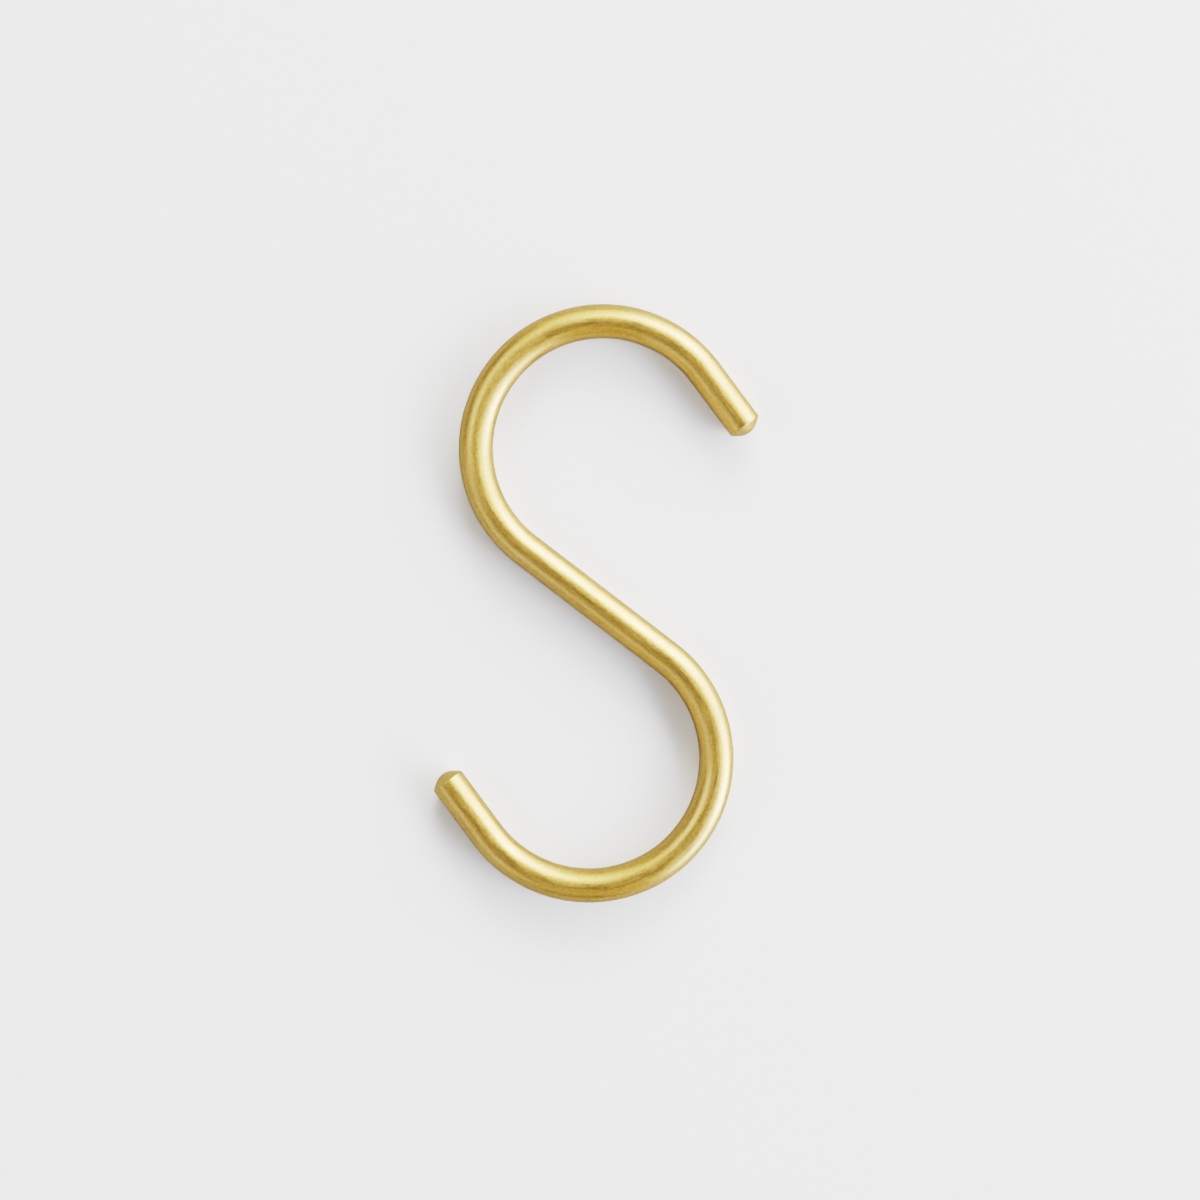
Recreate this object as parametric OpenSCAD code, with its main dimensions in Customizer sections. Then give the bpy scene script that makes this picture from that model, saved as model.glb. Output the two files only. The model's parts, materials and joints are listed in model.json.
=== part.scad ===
// S hook bent from one round brass rod, with both ends turned to a blunt rounded point.
// It lies flat: the lowest line of the rod is at z = 0 and the centre of the S is the origin.
// Both bend centres are on the Y axis, which is the line that a hanging load pulls along.

/* [Rod] */
// Diameter of the round rod
rod_d = 5; // [4:0.5:6.5]

/* [S shape] */
// Inside radius of each bend, where the hook sits on a rail or a ring
bend_inner_r = 16; // [12:0.5:20]
// Angle in degrees that each bend turns through
bend_sweep = 195.95; // [182:0.05:205]
// Length of the straight shank between the two bends
shank_length = 25.8; // [21:0.2:40]
// Straight length of each free end, from its bend to the corner of its turned tip
tail_length = 9.65; // [5:0.05:14]

/* [Turned tips] */
// Slope in degrees of the turned cone, measured from the plane of the cut end
cone_slope = 37; // [28:1:42]
// Radius of the rounded nose that the cone runs into
nose_r = 2.6; // [1:0.1:2.8]

/* [Hidden] */
$fn = 96;
nose_steps = 12;
rod_r = rod_d / 2;

// Radius of the rod's centreline in a bend
bend_r = bend_inner_r + rod_r;
half_shank = shank_length / 2;
// Angle between the shank and the line of the bend centres
shank_lean = atan(bend_r / half_shank);
// Turn from the start of a bend to its free end beyond a half circle, clockwise
tail_turn = 180 - bend_sweep;
// Reach of the blocks that cut a bend out of a full ring
reach = bend_r + rod_d;

// The nose meets the cone where the two have the same slope
nose_base_r = nose_r * sin(cone_slope);
cone_height = (rod_r - nose_base_r) * tan(cone_slope);
nose_centre = cone_height - nose_r * cos(cone_slope);

// Everything below the level of a bend's centre, on both sides of it
module lower_side() {
    translate([-reach, -reach, -rod_d])
        cube([2 * reach, reach, 2 * rod_d]);
}

// Ring of rod with its open side cut away, from the shank over the top to the free end
module bend() {
    difference() {
        rotate_extrude()
            translate([bend_r, 0])
                circle(r = rod_r);
        intersection() {
            lower_side();
            rotate([0, 0, tail_turn])
                lower_side();
        }
    }
}

// Straight rod that leaves a bend downwards
module straight(length) {
    rotate([90, 0, 0])
        cylinder(r = rod_r, h = length);
}

// Turned tip: a cone from the rod's corner that runs smoothly into a round nose
module tip() {
    nose = [
        for (step = [0 : nose_steps])
            let (slope = cone_slope * (1 - step / nose_steps))
                [nose_r * sin(slope), nose_centre + nose_r * cos(slope)]
    ];
    rotate([90, 0, 0])
        rotate_extrude()
            polygon(concat([[0, 0], [rod_r, 0]], nose));
}

// Half of the hook, from the middle of an upright shank to the tip
module half_hook() {
    translate([bend_r, half_shank, 0]) {
        translate([-bend_r, 0, 0])
            straight(half_shank);
        bend();
        rotate([0, 0, tail_turn])
            translate([bend_r, 0, 0]) {
                straight(tail_length);
                translate([0, -tail_length, 0])
                    tip();
            }
    }
}

// The whole rod: two like halves, the second turned half a turn, laid flat
module s_hook() {
    color("#c9a54b")
        translate([0, 0, rod_r])
            rotate([0, 0, shank_lean])
                for (turn = [0, 180])
                    rotate([0, 0, turn])
                        half_hook();
}

s_hook();
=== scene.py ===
import bpy, json
from math import atan2, cos, pi, radians, sin, sqrt, tan
from mathutils import Matrix, Vector


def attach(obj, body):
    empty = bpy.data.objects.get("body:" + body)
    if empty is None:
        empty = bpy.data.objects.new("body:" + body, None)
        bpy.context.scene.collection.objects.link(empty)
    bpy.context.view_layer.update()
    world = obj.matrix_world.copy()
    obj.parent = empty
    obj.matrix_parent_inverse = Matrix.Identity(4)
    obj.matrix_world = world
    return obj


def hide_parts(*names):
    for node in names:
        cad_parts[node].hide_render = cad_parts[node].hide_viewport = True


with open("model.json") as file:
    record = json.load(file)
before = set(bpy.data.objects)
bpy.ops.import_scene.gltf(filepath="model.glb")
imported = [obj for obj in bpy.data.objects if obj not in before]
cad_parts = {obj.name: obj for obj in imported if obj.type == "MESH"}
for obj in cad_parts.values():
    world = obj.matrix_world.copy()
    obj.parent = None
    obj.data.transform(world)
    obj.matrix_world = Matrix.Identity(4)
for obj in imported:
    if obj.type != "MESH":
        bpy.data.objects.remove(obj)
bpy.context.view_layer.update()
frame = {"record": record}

# The S hook is one round brass rod, drawn straight, turned to a blunt rounded point at both
# ends, bent cold into two open bends and given a satin finish. Its run is read from the
# part's mounts: a saddle is the inside of a bend, and a tip's pin is a straight free end.
mounts = {mount["name"]: mount for mount in frame["record"]["mounts"]}
saddle = mounts["upper_saddle"]
free_end = mounts["upper_tip"]
rod_radius = free_end["dims"]["r_mm"] / 1000
inner_radius = saddle["dims"]["r_mm"] / 1000
bend_radius = inner_radius + rod_radius
bend_centre = Vector(saddle["pos_m"]) + Vector(saddle["axis"]) * inner_radius
tail_length = free_end["dims"]["length_mm"] / 1000
tail_way = Vector(free_end["axis"]).normalized()
tail_start = Vector(free_end["pos_m"]) - tail_way * tail_length / 2
half_shank = sqrt(bend_centre.y ** 2 - bend_radius ** 2)
shank_lean = atan2(bend_radius, half_shank)
shank_way = Vector((-sin(shank_lean), cos(shank_lean), 0))
rod_middle = Vector((0, 0, rod_radius))
# A bend turns clockwise from where the shank meets it to where the free end leaves it.
bend_start = pi + shank_lean
bend_end = atan2(tail_start.y - bend_centre.y, tail_start.x - bend_centre.x)
bend_sweep = bend_start - bend_end
bend_length = bend_radius * bend_sweep

# The turned end, as distances along the rod and radii: the corner between rod and cone is
# broken by a small rounding, and the cone runs smoothly into the round nose.
cone_slope = radians(37)
nose_radius = 0.0026
corner_break = 0.00014
tail_steps = 6
corner_steps = 5
cone_shares = (0.12, 0.5, 1)
nose_steps = 16
corner_turn = pi / 2 - cone_slope
corner_radius = corner_break / tan(corner_turn / 2)
nose_base = nose_radius * sin(cone_slope)
cone_height = (rod_radius - nose_base) * tan(cone_slope)
nose_centre = tail_length + cone_height - nose_radius * cos(cone_slope)
turned_end = [(tail_length * step / tail_steps, rod_radius) for step in range(1, tail_steps)]
turned_end.append((tail_length - 3 * corner_break, rod_radius))
for step in range(corner_steps + 1):
    turn = corner_turn * step / corner_steps
    turned_end.append((
        tail_length - corner_break + corner_radius * sin(turn),
        rod_radius - corner_radius * (1 - cos(turn)),
    ))
for share in cone_shares:
    turned_end.append((tail_length + cone_height * share, rod_radius + (nose_base - rod_radius) * share))
for step in range(1, nose_steps):
    slope = cone_slope * (1 - step / nose_steps)
    turned_end.append((nose_centre + nose_radius * cos(slope), nose_radius * sin(slope)))


def ring_middle():
    """The middle of the ring of vertices that is selected."""
    bpy.context.object.update_from_editmode()
    ring = [vertex.co for vertex in bpy.context.object.data.vertices if vertex.select]
    return sum(ring, Vector()) / len(ring)


def push_ring(way, distance):
    """Extrudes the selected ring straight on."""
    bpy.ops.mesh.extrude_edges_move(TRANSFORM_OT_translate={"value": way * distance})


# Half of the rod starts as a circle in the middle of the S. It is extruded along the shank,
# spun round the bend, extruded along the free end and narrowed ring by ring to the nose.
steps_around = 128
shank_steps = 16
bend_steps = 144
bpy.ops.object.select_all(action="DESELECT")
bpy.ops.mesh.primitive_circle_add(
    vertices=steps_around, radius=rod_radius, location=rod_middle, rotation=(pi / 2, 0, shank_lean)
)
rod = bpy.context.object
rod.name = rod.data.name = "bent_rod"
bpy.ops.object.transform_apply(location=True, rotation=True, scale=True)
bpy.ops.object.mode_set(mode="EDIT")
bpy.ops.mesh.select_mode(type="VERT")
bpy.ops.mesh.select_all(action="SELECT")
for step in range(shank_steps):
    push_ring(shank_way, half_shank / shank_steps)
bpy.ops.mesh.spin(steps=bend_steps, angle=bend_sweep, center=bend_centre, axis=(0, 0, 1))
reached, radius = 0, rod_radius
for distance, new_radius in turned_end:
    push_ring(tail_way, distance - reached)
    if new_radius != radius:
        narrowing = new_radius / radius
        bpy.ops.transform.resize(value=(narrowing,) * 3, center_override=ring_middle())
    reached, radius = distance, new_radius
push_ring(tail_way, nose_centre + nose_radius - reached)
bpy.ops.mesh.merge(type="CENTER")
bpy.ops.object.mode_set(mode="OBJECT")

# Each vertex remembers where it was in the straight rod, so that the grain of the drawn metal
# follows the bends: across to the right, along from the middle of the shank, and height.
drawn = rod.data.attributes.new("drawn_rod", "FLOAT_VECTOR", "POINT")
for vertex in rod.data.vertices:
    from_shank = vertex.co - rod_middle
    from_bend = vertex.co - bend_centre
    from_tail = vertex.co - tail_start
    bend_angle = atan2(from_bend.y, from_bend.x) % (2 * pi)
    if from_shank.dot(shank_way) < half_shank and bend_angle > pi:
        across = from_shank.x * shank_way.y - from_shank.y * shank_way.x
        along = from_shank.dot(shank_way)
    elif from_tail.dot(tail_way) > 0 and from_bend.x > 0:
        across = from_tail.x * tail_way.y - from_tail.y * tail_way.x
        along = half_shank + bend_length + from_tail.dot(tail_way)
    else:
        across = bend_radius - from_bend.xy.length
        along = half_shank + bend_radius * (bend_start - bend_angle)
    drawn.data[vertex.index].vector = (across, along, vertex.co.z - rod_radius)

# The other half is the same rod turned half a turn about the middle of the S.
bpy.ops.object.duplicate()
other_half = bpy.context.object
other_half.rotation_euler.z = pi
bpy.ops.object.transform_apply(location=True, rotation=True, scale=True)
for place in other_half.data.attributes["drawn_rod"].data:
    place.vector = (-place.vector.x, -place.vector.y, place.vector.z)
rod.select_set(True)
bpy.context.view_layer.objects.active = rod
bpy.ops.object.join()
bpy.ops.object.mode_set(mode="EDIT")
bpy.ops.mesh.select_all(action="SELECT")
bpy.ops.mesh.remove_doubles(threshold=0.000001)
bpy.ops.mesh.normals_make_consistent(inside=False)
bpy.ops.object.mode_set(mode="OBJECT")
bpy.ops.object.shade_smooth()

# The metal is solid brass with a satin finish under clear lacquer. Everything on it follows
# the rod: fine lines along it from drawing and brushing, a faint mottle and paler patches
# where hands rub it, and on the turned ends rings from the lathe with a rubbed corner.
brass = bpy.data.materials.new("satin_brass")
brass.use_nodes = True
nodes, links = brass.node_tree.nodes, brass.node_tree.links
brass_shader = nodes["Principled BSDF"]
brass_shader.inputs["Metallic"].default_value = 1
brass_shader.inputs["Specular Tint"].default_value = (1, 1, 0.93, 1)
brass_shader.inputs["Coat Weight"].default_value = 0.45
brass_shader.inputs["Coat Roughness"].default_value = 0.3
rod_place = nodes.new("ShaderNodeAttribute")
rod_place.attribute_name = "drawn_rod"


def grain(label, across, along, detail):
    """A noise pattern laid on the straight rod; across and along are its sizes in metres."""
    laid = nodes.new("ShaderNodeMapping")
    laid.inputs["Scale"].default_value = (1 / across, 1 / along, 1 / across)
    links.new(rod_place.outputs["Vector"], laid.inputs["Vector"])
    pattern = nodes.new("ShaderNodeTexNoise")
    pattern.name = pattern.label = label
    pattern.inputs["Scale"].default_value = 1
    pattern.inputs["Detail"].default_value = detail
    pattern.inputs["Roughness"].default_value = 0.6
    links.new(laid.outputs["Vector"], pattern.inputs["Vector"])
    return pattern.outputs["Fac"]


def spread(value, low, high, new_low, new_high):
    """Maps the range from low to high smoothly to a new range."""
    mapped = nodes.new("ShaderNodeMapRange")
    mapped.interpolation_type = "SMOOTHSTEP"
    mapped.inputs["From Min"].default_value = low
    mapped.inputs["From Max"].default_value = high
    mapped.inputs["To Min"].default_value = new_low
    mapped.inputs["To Max"].default_value = new_high
    links.new(value, mapped.inputs["Value"])
    return mapped.outputs["Result"]


def combine(operation, first, second):
    """One step of arithmetic between two values or sockets."""
    step = nodes.new("ShaderNodeMath")
    step.operation = operation
    for socket, value in zip(step.inputs, (first, second)):
        if isinstance(value, (int, float)):
            socket.default_value = value
        else:
            links.new(value, socket)
    return step.outputs["Value"]


# The patterns' values lie about 0.5, mostly between 0.3 and 0.7.
brushed = grain("brushed lines", 0.00018, 0.005, 3)
mottled = grain("mottle", 0.00026, 0.0004, 1)
rubbed = grain("rubbed patches", 0.006, 0.011, 3)
lathe_rings = grain("lathe rings", 0.5, 0.00009, 3)

# How far along the rod a point is, to either side of the middle, sets off the turned ends
# and the rubbed corners at their start.
along_rod = nodes.new("ShaderNodeSeparateXYZ")
links.new(rod_place.outputs["Vector"], along_rod.inputs["Vector"])
from_middle = combine("ABSOLUTE", along_rod.outputs["Y"], 0)
corner_place = half_shank + bend_length + tail_length
on_turned_end = spread(from_middle, corner_place - 0.00002, corner_place + 0.00008, 0, 1)
on_corner = combine(
    "MULTIPLY",
    spread(from_middle, corner_place - 0.0004, corner_place - 0.00002, 0, 1),
    spread(from_middle, corner_place + 0.00008, corner_place + 0.0002, 1, 0),
)

# The brass is paler and a little rougher here and there, and brighter on the rubbed corner.
colour_share = combine("ADD", spread(rubbed, 0.3, 0.7, 0, 0.25), spread(mottled, 0.32, 0.68, 0, 0.45))
colour_share = combine("ADD", colour_share, spread(brushed, 0.32, 0.68, 0, 0.3))
brass_colour = nodes.new("ShaderNodeMix")
brass_colour.data_type = "RGBA"
brass_colour.inputs["A"].default_value = (0.68, 0.42, 0.108, 1)
brass_colour.inputs["B"].default_value = (0.99, 0.664, 0.228, 1)
links.new(colour_share, brass_colour.inputs["Factor"])
corner_colour = nodes.new("ShaderNodeMix")
corner_colour.data_type = "RGBA"
corner_colour.inputs["B"].default_value = (0.93, 0.66, 0.27, 1)
links.new(combine("MULTIPLY", on_corner, 0.2), corner_colour.inputs["Factor"])
links.new(brass_colour.outputs["Result"], corner_colour.inputs["A"])
links.new(corner_colour.outputs["Result"], brass_shader.inputs["Base Color"])

satin = combine("ADD", spread(brushed, 0.3, 0.7, 0.32, 0.43), spread(mottled, 0.3, 0.7, -0.01, 0.04))
satin = combine("ADD", satin, spread(rubbed, 0.35, 0.65, 0.03, -0.02))
satin = combine("SUBTRACT", satin, combine("MULTIPLY", on_corner, 0.08))
links.new(satin, brass_shader.inputs["Roughness"])

# The relief is very low: lines on the rod, rings on the turned ends, and unevenness all over.
lines_or_rings = nodes.new("ShaderNodeMix")
links.new(on_turned_end, lines_or_rings.inputs["Factor"])
links.new(brushed, lines_or_rings.inputs["A"])
links.new(lathe_rings, lines_or_rings.inputs["B"])
fine_relief = nodes.new("ShaderNodeBump")
fine_relief.inputs["Strength"].default_value = 1
fine_relief.inputs["Distance"].default_value = 0.00001
links.new(lines_or_rings.outputs["Result"], fine_relief.inputs["Height"])
uneven_relief = nodes.new("ShaderNodeBump")
uneven_relief.inputs["Strength"].default_value = 1
uneven_relief.inputs["Distance"].default_value = 0.000015
links.new(mottled, uneven_relief.inputs["Height"])
links.new(fine_relief.outputs["Normal"], uneven_relief.inputs["Normal"])
links.new(uneven_relief.outputs["Normal"], brass_shader.inputs["Normal"])
rod.data.materials.append(brass)
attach(rod, "root")
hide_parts("s_hook")

# The hook lies on a plain pale floor of matt paint. As a studio does with a grey card, what
# the metal sees of the floor is held darker than what the camera sees.
bpy.ops.mesh.primitive_plane_add(size=2)
floor = bpy.context.object
floor.name = "floor"
floor_paint = bpy.data.materials.new("pale_floor")
floor_paint.use_nodes = True
nodes, links = floor_paint.node_tree.nodes, floor_paint.node_tree.links
nodes.remove(nodes["Principled BSDF"])
floor_shader = nodes.new("ShaderNodeBsdfDiffuse")
links.new(floor_shader.outputs["BSDF"], nodes["Material Output"].inputs["Surface"])
ray_kind = nodes.new("ShaderNodeLightPath")
seen_by_metal = nodes.new("ShaderNodeMix")
seen_by_metal.data_type = "RGBA"
seen_by_metal.inputs["A"].default_value = (0.88, 0.88, 0.88, 1)
seen_by_metal.inputs["B"].default_value = (0.43, 0.44, 0.45, 1)
links.new(ray_kind.outputs["Is Glossy Ray"], seen_by_metal.inputs["Factor"])
seen_by_camera = nodes.new("ShaderNodeMix")
seen_by_camera.data_type = "RGBA"
seen_by_camera.inputs["B"].default_value = (1.4, 1.41, 1.42, 1)
links.new(ray_kind.outputs["Is Camera Ray"], seen_by_camera.inputs["Factor"])
links.new(seen_by_metal.outputs["Result"], seen_by_camera.inputs["A"])
links.new(seen_by_camera.outputs["Result"], floor_shader.inputs["Color"])
floor.data.materials.append(floor_paint)

# Soft light from all round draws the bands on the metal: a bright wall and a wide panel low at
# the right, a large box above right, and weak ones at the top, left and below. The soft
# shadows come mostly from three lights for the floor alone.
photo_lean = radians(2.57)


def soft_box(name, azimuth, elevation, width, height, glow, colour, floor=True, metal=True):
    """Hangs a soft box that lights the floor, the metal or both.

    Its azimuth and elevation are degrees in the photo's frame, and its width and height are
    radians as the hook sees them.
    """
    turned = radians(azimuth) + photo_lean
    raised = radians(elevation)
    # A box for the floor alone hangs farther off and so lights it evenly.
    away = 1.5 if metal else 6
    place = away * Vector((cos(raised) * cos(turned), cos(raised) * sin(turned), sin(raised)))
    facing = (-place).to_track_quat("-Z", "Y").to_euler()
    bpy.ops.object.light_add(type="AREA", location=place, rotation=facing)
    box = bpy.context.object
    box.name = box.data.name = name
    box.data.shape = "RECTANGLE"
    box.data.size = away * width
    box.data.size_y = away * height
    box.data.energy = glow * box.data.size * box.data.size_y * pi
    box.data.color = colour
    box.visible_camera = False
    box.visible_diffuse = floor
    box.visible_glossy = metal
    if not floor:
        # It doesn't reach the floor by way of the metal either.
        box.data.cycles.max_bounces = 0


soft_box("wall_hot_low", -15, 11, 0.45, 0.40, 11.0, (1.0, 1.01, 1.18), floor=False)
soft_box("wall_upper", -15, 35, 0.50, 0.48, 3.0, (1.0, 1.05, 1.45))
soft_box("wall_end", -42, 13, 0.45, 0.50, 3.3, (1.0, 1.06, 1.35))
soft_box("low_glow_wall", -30, 4, 0.80, 0.22, 4.0, (1.0, 1.08, 1.4))
soft_box("wide_panel_right", 28, 24, 1.10, 0.85, 4.4, (0.97, 1.0, 1.0))
soft_box("low_glow_right", 52, 6, 0.90, 0.32, 3.2, (1.0, 1.0, 1.0))
soft_box("soft_box_above_right", 58, 44.5, 0.62, 0.68, 6.8, (1.0, 1.0, 0.94), floor=False)
soft_box("soft_box_top", 98, 34, 0.60, 0.85, 1.5, (1.0, 0.9, 0.68))
soft_box("soft_box_above_left", 155, 49.5, 0.60, 0.45, 2.3, (0.94, 0.97, 1.1), floor=False)
soft_box("soft_box_low_left", 213, 28, 1.25, 0.50, 0.95, (0.92, 0.96, 1.2), floor=False)
soft_box("warm_reflector_below", 280, 36, 0.90, 0.60, 0.45, (1.0, 0.78, 0.2), floor=False)
soft_box("floor_light_right", -20, 24, 0.60, 0.35, 10.6, (1.0, 1.0, 1.0), metal=False)
soft_box("floor_light_top", 80, 24, 0.60, 0.35, 15.0, (1.0, 1.0, 1.0), metal=False)
soft_box("floor_light_left", 190, 33, 0.90, 0.50, 3.3, (1.0, 1.0, 1.0), metal=False)

# The dim room fills in from all round: warm walls in the metal, and pale for the camera.
room = bpy.data.worlds.new("dim_room")
bpy.context.scene.world = room
room.use_nodes = True
nodes, links = room.node_tree.nodes, room.node_tree.links
ray_kind = nodes.new("ShaderNodeLightPath")
room_light = nodes.new("ShaderNodeMix")
room_light.data_type = "RGBA"
room_light.inputs["A"].default_value = (0.02, 0.02, 0.02, 1)
room_light.inputs["B"].default_value = (0.19, 0.172, 0.125, 1)
links.new(ray_kind.outputs["Is Glossy Ray"], room_light.inputs["Factor"])
room_seen = nodes.new("ShaderNodeMix")
room_seen.data_type = "RGBA"
room_seen.inputs["B"].default_value = (2.4, 2.4, 2.4, 1)
links.new(ray_kind.outputs["Is Camera Ray"], room_seen.inputs["Factor"])
links.new(room_light.outputs["Result"], room_seen.inputs["A"])
links.new(room_seen.outputs["Result"], nodes["Background"].inputs["Color"])

# The camera looks straight down, as in the photo, with the hook leaning a little to the right.
# The photo is this wide in metres at the level of the rod's middle.
photo_width = 0.17452
camera_shift = Vector((0.000563, 0.00048, 0))
lens = 100
sensor = 36
height = lens / sensor * photo_width
bpy.ops.object.camera_add(
    location=Matrix.Rotation(photo_lean, 3, "Z") @ camera_shift + rod_middle + Vector((0, 0, height)),
    rotation=(0, 0, photo_lean),
)
camera = bpy.context.object
camera.data.lens = lens
camera.data.sensor_width = sensor
camera.data.clip_start = 0.01
bpy.context.scene.camera = camera

# The picture's tones: a soft shoulder keeps the bright metal pale and not burnt out.
view = bpy.context.scene.view_settings
view.view_transform = "Standard"
view.use_curve_mapping = True
tones = view.curve_mapping
tones.use_clip = False
tones.extend = "HORIZONTAL"
tone_points = [
    (0, 0), (0.06, 0.032), (0.12, 0.09), (0.18, 0.175), (0.3, 0.306), (0.45, 0.44), (0.63, 0.554),
    (0.94, 0.67), (1.32, 0.741), (1.64, 0.785), (2.28, 0.84), (3.35, 0.912), (4.9, 0.962), (9, 0.995),
]
for curve in tones.curves[:3]:
    curve.points[0].location = tone_points[0]
    curve.points[1].location = tone_points[-1]
    for x, y in tone_points[1:-1]:
        curve.points.new(x, y)
    for point in curve.points:
        point.handle_type = "AUTO_CLAMPED"
tones.update()
